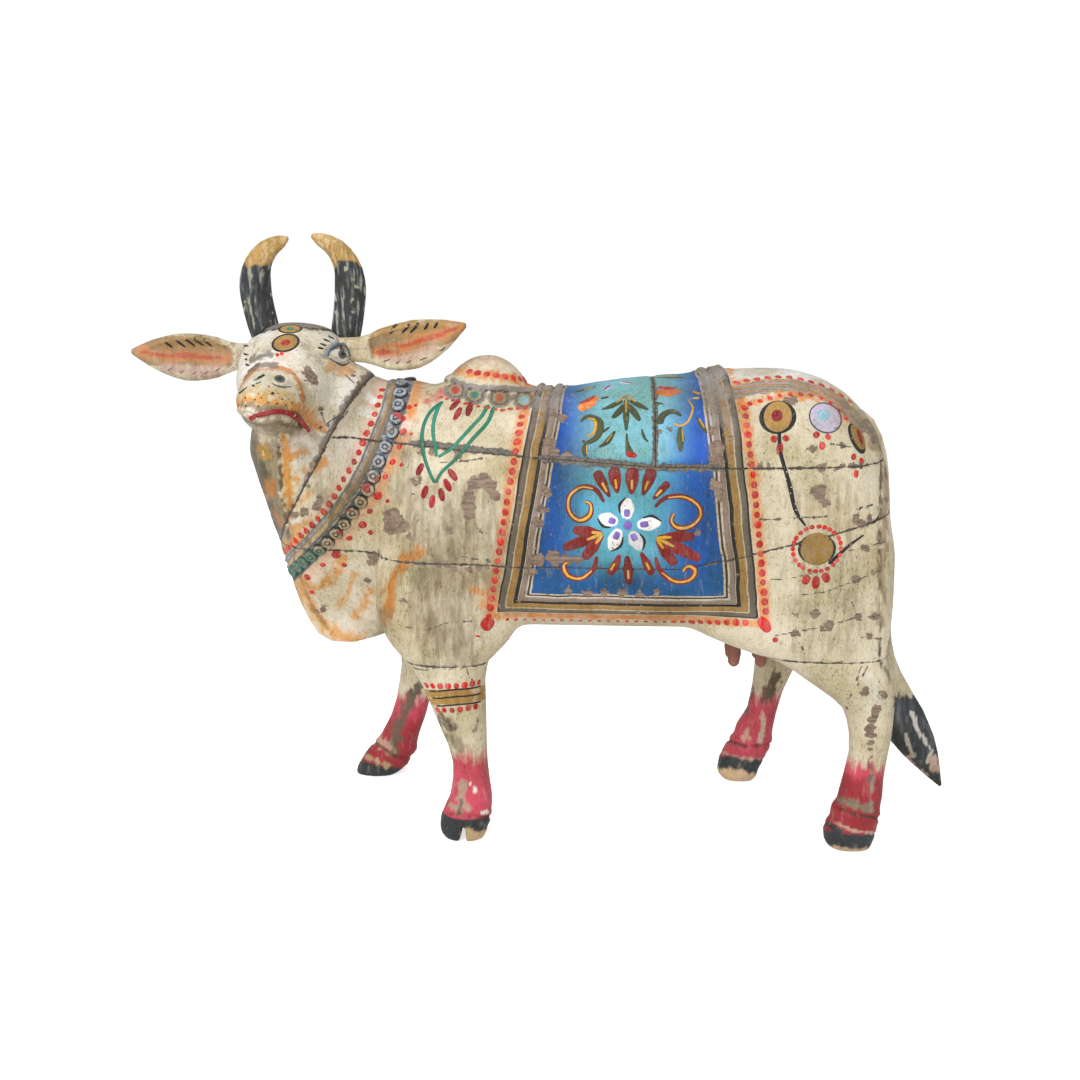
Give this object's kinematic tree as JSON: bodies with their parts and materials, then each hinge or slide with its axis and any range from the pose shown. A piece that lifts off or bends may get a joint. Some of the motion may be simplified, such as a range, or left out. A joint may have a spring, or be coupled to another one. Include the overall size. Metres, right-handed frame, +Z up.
{
  "type": "wooden cow figurine",
  "caption": "Standing carved wooden cow with a shoulder hump, turned head, curved horns, leaf-shaped ears, a saddle cloth and a collar carved in relief, and painted folk ornament.",
  "frame": {"origin": "centre of the bounding box, on the surface that the hooves stand on", "axes": "+Z up; the cow walks towards -X, so +X is its tail end; its head is turned to its own left side, which is -Y and faces the picture's camera"},
  "size_m": [0.5088, 0.1698, 0.3676],
  "materials": {
    "cream_paint": "aged matt cream paint on carved wood, rubbed down to the brown wood in patches, with painted ornament",
    "horn_paint": "worn satin black paint on carved wood, with ochre tips",
    "teat_paint": "worn matt pink-brown paint on carved wood",
    "bare_wood": "bare turned hardwood",
    "red_paint": "matt red brush paint over the cream coat",
    "ochre_paint": "matt ochre brush paint over the cream coat",
    "green_paint": "matt green brush paint over the cream coat",
    "blue_paint": "matt blue brush paint on the saddle cloth",
    "white_paint": "matt white brush paint",
    "black_paint": "matt black brush paint"
  },
  "bodies": {
    "root": {"body_lower": "cream_paint", "body_middle": "cream_paint", "back_block_front": "cream_paint", "back_block_rear": "cream_paint", "head": "cream_paint", "ear_left": "cream_paint", "ear_right": "cream_paint", "leg_front_left": "cream_paint", "leg_front_right": "cream_paint", "leg_rear_left": "cream_paint", "leg_rear_right": "cream_paint", "tail": "cream_paint", "horn_left": "horn_paint", "horn_right": "horn_paint", "teat_front_left": "teat_paint", "teat_front_right": "teat_paint", "teat_rear_left": "teat_paint", "teat_rear_right": "teat_paint", "peg_lower_front": "bare_wood", "peg_lower_rear": "bare_wood", "peg_upper_front": "bare_wood", "peg_upper_rear": "bare_wood", "peg_back_blocks": "bare_wood", "peg_neck_upper": "bare_wood", "peg_neck_lower": "bare_wood", "peg_leg_front_left": "bare_wood", "peg_leg_front_right": "bare_wood", "peg_leg_rear_left": "bare_wood", "peg_leg_rear_right": "bare_wood"}
  },
  "joints": []
}
